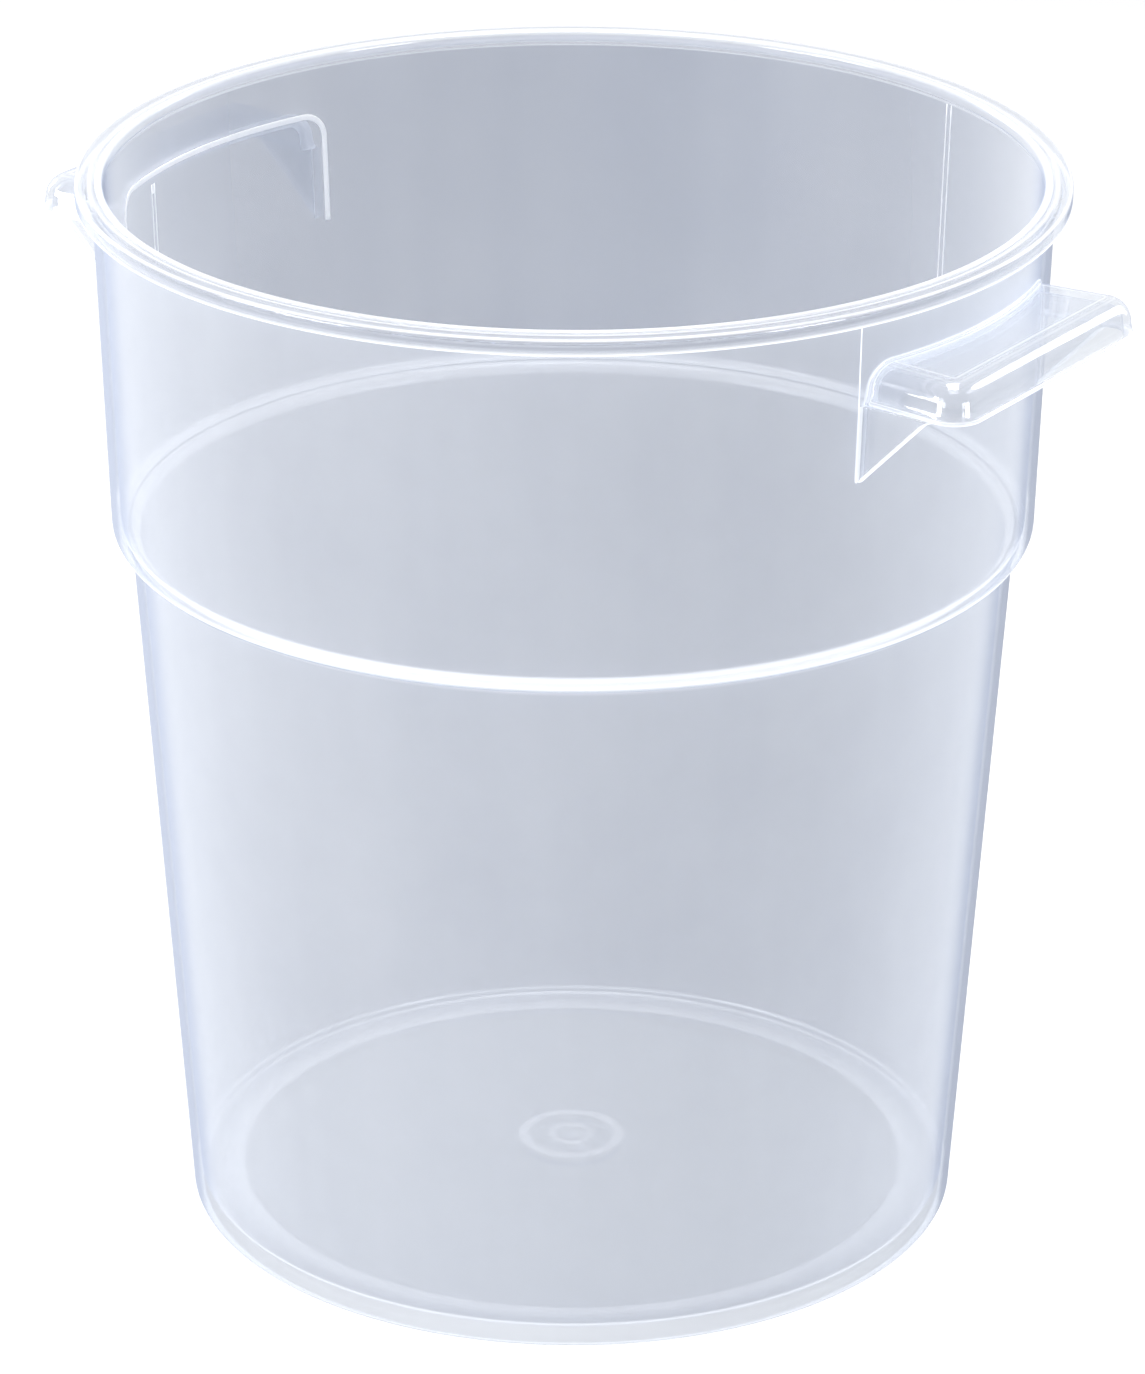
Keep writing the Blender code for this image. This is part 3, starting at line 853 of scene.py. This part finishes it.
def polypropylene(name, haze_face, haze_edge, tint, deep, roughness=(0.16, 0.28), ior=1.6, bend=2.2,
                  edge=MILK_AND_GLINT_WHITE, gloss=1.0, milk_and_glint_through=MILK_AND_GLINT_THROUGH):
    """Natural polypropylene, milky where it is thick or seen along the surface, whiter on milky places as a
    painted highlight and grey at its outline as painted shade.

    The haze goes from haze_face, seen head on, to haze_edge. Its colour lies between deep and tint, and
    turns to edge seen along the surface, which paints light there where edge is pale and shade where it is
    dark. Bend is how late these changes come. A part of the light on milky places, milk_and_glint_through,
    passes and glows on the other side.
    """
    material = bpy.data.materials.new(name)
    n = Nodes(material)
    out = n.add("ShaderNodeOutputMaterial")
    coords = n.add("ShaderNodeTexCoord").outputs["Object"]
    cloud = n.noise(coords, Scale=CLOUD_SCALE, Detail=4.0, Roughness=0.55)
    weight = n.add("ShaderNodeLayerWeight")
    weight.inputs["Blend"].default_value = 0.5
    facing = weight.outputs["Facing"]
    curve = n.math("POWER", facing, bend)
    milk_and_glint = n.add("ShaderNodeAttribute", attribute_name="milk_and_glint").outputs["Fac"]
    plain = n.math("SUBTRACT", 1.0, milk_and_glint, clamp=True)
    turned = n.ranged(facing, 0.0, 1.0, OUTLINE_START, OUTLINE_FULL, "SMOOTHSTEP")
    outline = n.math("MULTIPLY", turned, plain)
    haze = haze_share(n, coords, cloud, curve, haze_face, haze_edge)
    # Milky places are more solid and turn milk white: milky plastic and painted highlight together
    haze_and_glint = n.math("MULTIPLY_ADD", milk_and_glint, MILK_AND_GLINT_HAZE, haze, clamp=True)
    seen = n.math("MAXIMUM", haze_and_glint, outline)
    shadow = n.add("ShaderNodeLightPath").outputs["Is Shadow Ray"]
    solid = n.math("MULTIPLY", seen, n.math("MULTIPLY_ADD", shadow, -SHADOW_CLEAR, 1.0))
    base = n.colour(cloud, (*deep, 1), (*tint, 1))
    # Seen along the surface the colour turns to edge, painted light where edge is pale and painted shade
    # where it is dark; milky places turn milk white, partly a painted highlight
    colour = n.colour(milk_and_glint, n.colour(curve, base, (*edge, 1)), (*MILK_AND_GLINT_WHITE, 1))
    glow = n.add("ShaderNodeBsdfTranslucent")
    n.link(colour, glow.inputs["Color"])
    through = n.math("MULTIPLY_ADD", milk_and_glint, milk_and_glint_through, PLAIN_THROUGH)
    lit = n.blend(through, moulded_skin(n, coords, cloud, colour, roughness, ior, gloss), glow.outputs[0])
    # The outline is a grey diffuse surface: painted shade
    border = n.add("ShaderNodeBsdfDiffuse")
    border.inputs["Color"].default_value = (*OUTLINE_SHADE_GREY, 1)
    clear = n.add("ShaderNodeBsdfTransparent")
    clear.inputs["Color"].default_value = (*CLEAR_TINT, 1)
    surface = n.blend(solid, clear.outputs[0], n.blend(outline, lit, border.outputs[0]))
    n.link(surface, out.inputs["Surface"])
    return material


def seen_directly(n):
    """One where the ray is a camera, glossy or transmission ray."""
    path = n.add("ShaderNodeLightPath")
    first = n.math("MAXIMUM", path.outputs["Is Camera Ray"], path.outputs["Is Glossy Ray"])
    return n.math("MAXIMUM", first, path.outputs["Is Transmission Ray"])


def make_floor():
    size = FLOOR_HALF
    level = -FLOOR_GAP
    corners = [(-size, -size, level), (size, -size, level), (size, size, level), (-size, size, level)]
    mesh = bpy.data.meshes.new("studio_floor")
    mesh.from_pydata(corners, [], [(0, 1, 2, 3)])
    floor = bpy.data.objects.new("studio_floor", mesh)
    bpy.context.scene.collection.objects.link(floor)
    material = bpy.data.materials.new("studio_floor")
    n = Nodes(material)
    out = n.add("ShaderNodeOutputMaterial")
    paint = n.add("ShaderNodeBsdfDiffuse")
    paint.inputs["Color"].default_value = (*FLOOR_GREY, 1)
    lift = n.add("ShaderNodeEmission")
    n.link(n.math("MULTIPLY", seen_directly(n), FLOOR_LIFT), lift.inputs["Strength"])
    both = n.add("ShaderNodeAddShader")
    n.link(paint.outputs[0], both.inputs[0])
    n.link(lift.outputs[0], both.inputs[1])
    n.link(both.outputs[0], out.inputs["Surface"])
    mesh.materials.append(material)


def make_world():
    world = bpy.data.worlds.new("studio")
    bpy.context.scene.world = world
    n = Nodes(world)
    out = n.add("ShaderNodeOutputWorld")
    dim = n.add("ShaderNodeBackground")
    dim.inputs["Color"].default_value = (*WORLD_TINT, 1)
    dim.inputs["Strength"].default_value = WORLD_LEVEL
    white = n.add("ShaderNodeBackground")
    white.inputs["Color"].default_value = (1, 1, 1, 1)
    n.link(n.blend(seen_directly(n), dim.outputs[0], white.outputs[0]), out.inputs["Surface"])


def from_camera(right, ahead, up):
    """Point given from the axis: to the camera's right, away from it and up."""
    away = Vector((-math.cos(CAMERA_AZIMUTH), -math.sin(CAMERA_AZIMUTH), 0))
    side = Vector((-math.sin(CAMERA_AZIMUTH), math.cos(CAMERA_AZIMUTH), 0))
    return side * right + away * ahead + Vector((0, 0, up))


def softbox(name, place, size, power):
    """Rectangular lamp at a place given from the axis, aimed at the middle of the container."""
    light = bpy.data.lights.new(name, "AREA")
    light.shape = "RECTANGLE"
    light.size, light.size_y = size
    light.energy = power
    lamp = bpy.data.objects.new(name, light)
    lamp.location = from_camera(*place)
    lamp.rotation_euler = (Vector(LAMP_TARGET) - lamp.location).to_track_quat("-Z", "Y").to_euler()
    bpy.context.scene.collection.objects.link(lamp)


def make_camera():
    data = bpy.data.cameras.new("camera")
    data.sensor_width = SENSOR_MM
    data.lens = FOCAL_PX / FRAME_HEIGHT_PX * SENSOR_MM
    camera = bpy.data.objects.new("camera", data)
    ahead = from_camera(0, 1, 0) * math.cos(CAMERA_PITCH) - Vector((0, 0, math.sin(CAMERA_PITCH)))
    level = from_camera(1, 0, 0)
    upright = level.cross(ahead)
    right = level * math.cos(CAMERA_ROLL) + upright * math.sin(CAMERA_ROLL)
    up = right.cross(ahead)
    turn = Matrix((right, up, -ahead)).transposed().to_4x4()
    place = from_camera(0, -CAMERA_DISTANCE, CAMERA_HEIGHT)
    camera.matrix_world = Matrix.Translation(place) @ turn
    bpy.context.scene.collection.objects.link(camera)
    bpy.context.scene.camera = camera


def body_plastics():
    """Materials of the body's sections, in their order: floor, inside, rim, outside, foot and underside. The
    inside, floor, foot and underside are darker copies of the outside's plastic: painted shade inside and
    under the container.
    """
    return [
        polypropylene("floor_top", 0.38, 0.80, (0.46, 0.47, 0.49), (0.40, 0.41, 0.43), ior=2.0, bend=4.0,
                      milk_and_glint_through=0.0),
        polypropylene("inner_skin", 0.54, 0.85, (0.06, 0.09, 0.17), (0.04, 0.065, 0.13), bend=1.4,
                      milk_and_glint_through=0.10),
        polypropylene("rim_plastic", 0.42, 0.75, (0.44, 0.46, 0.51), (0.38, 0.40, 0.45), (0.05, 0.10),
                      ior=1.7, bend=4.0),
        # The outer skin turns dark grey seen along it: painted shade at its sides
        polypropylene("outer_skin", 0.43, 0.54, (0.91, 0.93, 0.97), (0.87, 0.89, 0.94),
                      edge=(0.28, 0.32, 0.40), gloss=0.3),
        polypropylene("foot_plastic", 0.78, 0.85, (0.47, 0.475, 0.485), (0.42, 0.425, 0.435), bend=4.0),
        polypropylene("floor_underside", 0.42, 0.80, (0.50, 0.515, 0.54), (0.44, 0.455, 0.48)),
    ]


def hood_plastic():
    """Material of the handles, with sharper and brighter reflections than the walls have."""
    # The hood turns paler seen along it: painted light
    return polypropylene("hood_plastic", 0.29, 0.56, (0.48, 0.50, 0.55), (0.42, 0.44, 0.49), (0.04, 0.08),
                         ior=2.2, edge=(0.74, 0.76, 0.80))


def main():
    bpy.context.scene.view_settings.view_transform = "Standard"
    make_camera()
    make_world()
    make_floor()
    for lamp in LAMPS:
        softbox(*lamp)
    hood = hood_plastic()
    body = build_body(body_plastics())
    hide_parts("vessel_shell", "rim_flange", "foot_ring", "gate_disc")
    right = build_handle("hood_handle_right", False, [hood])
    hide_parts("handle_right")
    left = build_handle("hood_handle_left", True, [hood])
    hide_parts("handle_left")
    for piece in (body, right, left):
        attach(piece, "root")


main()
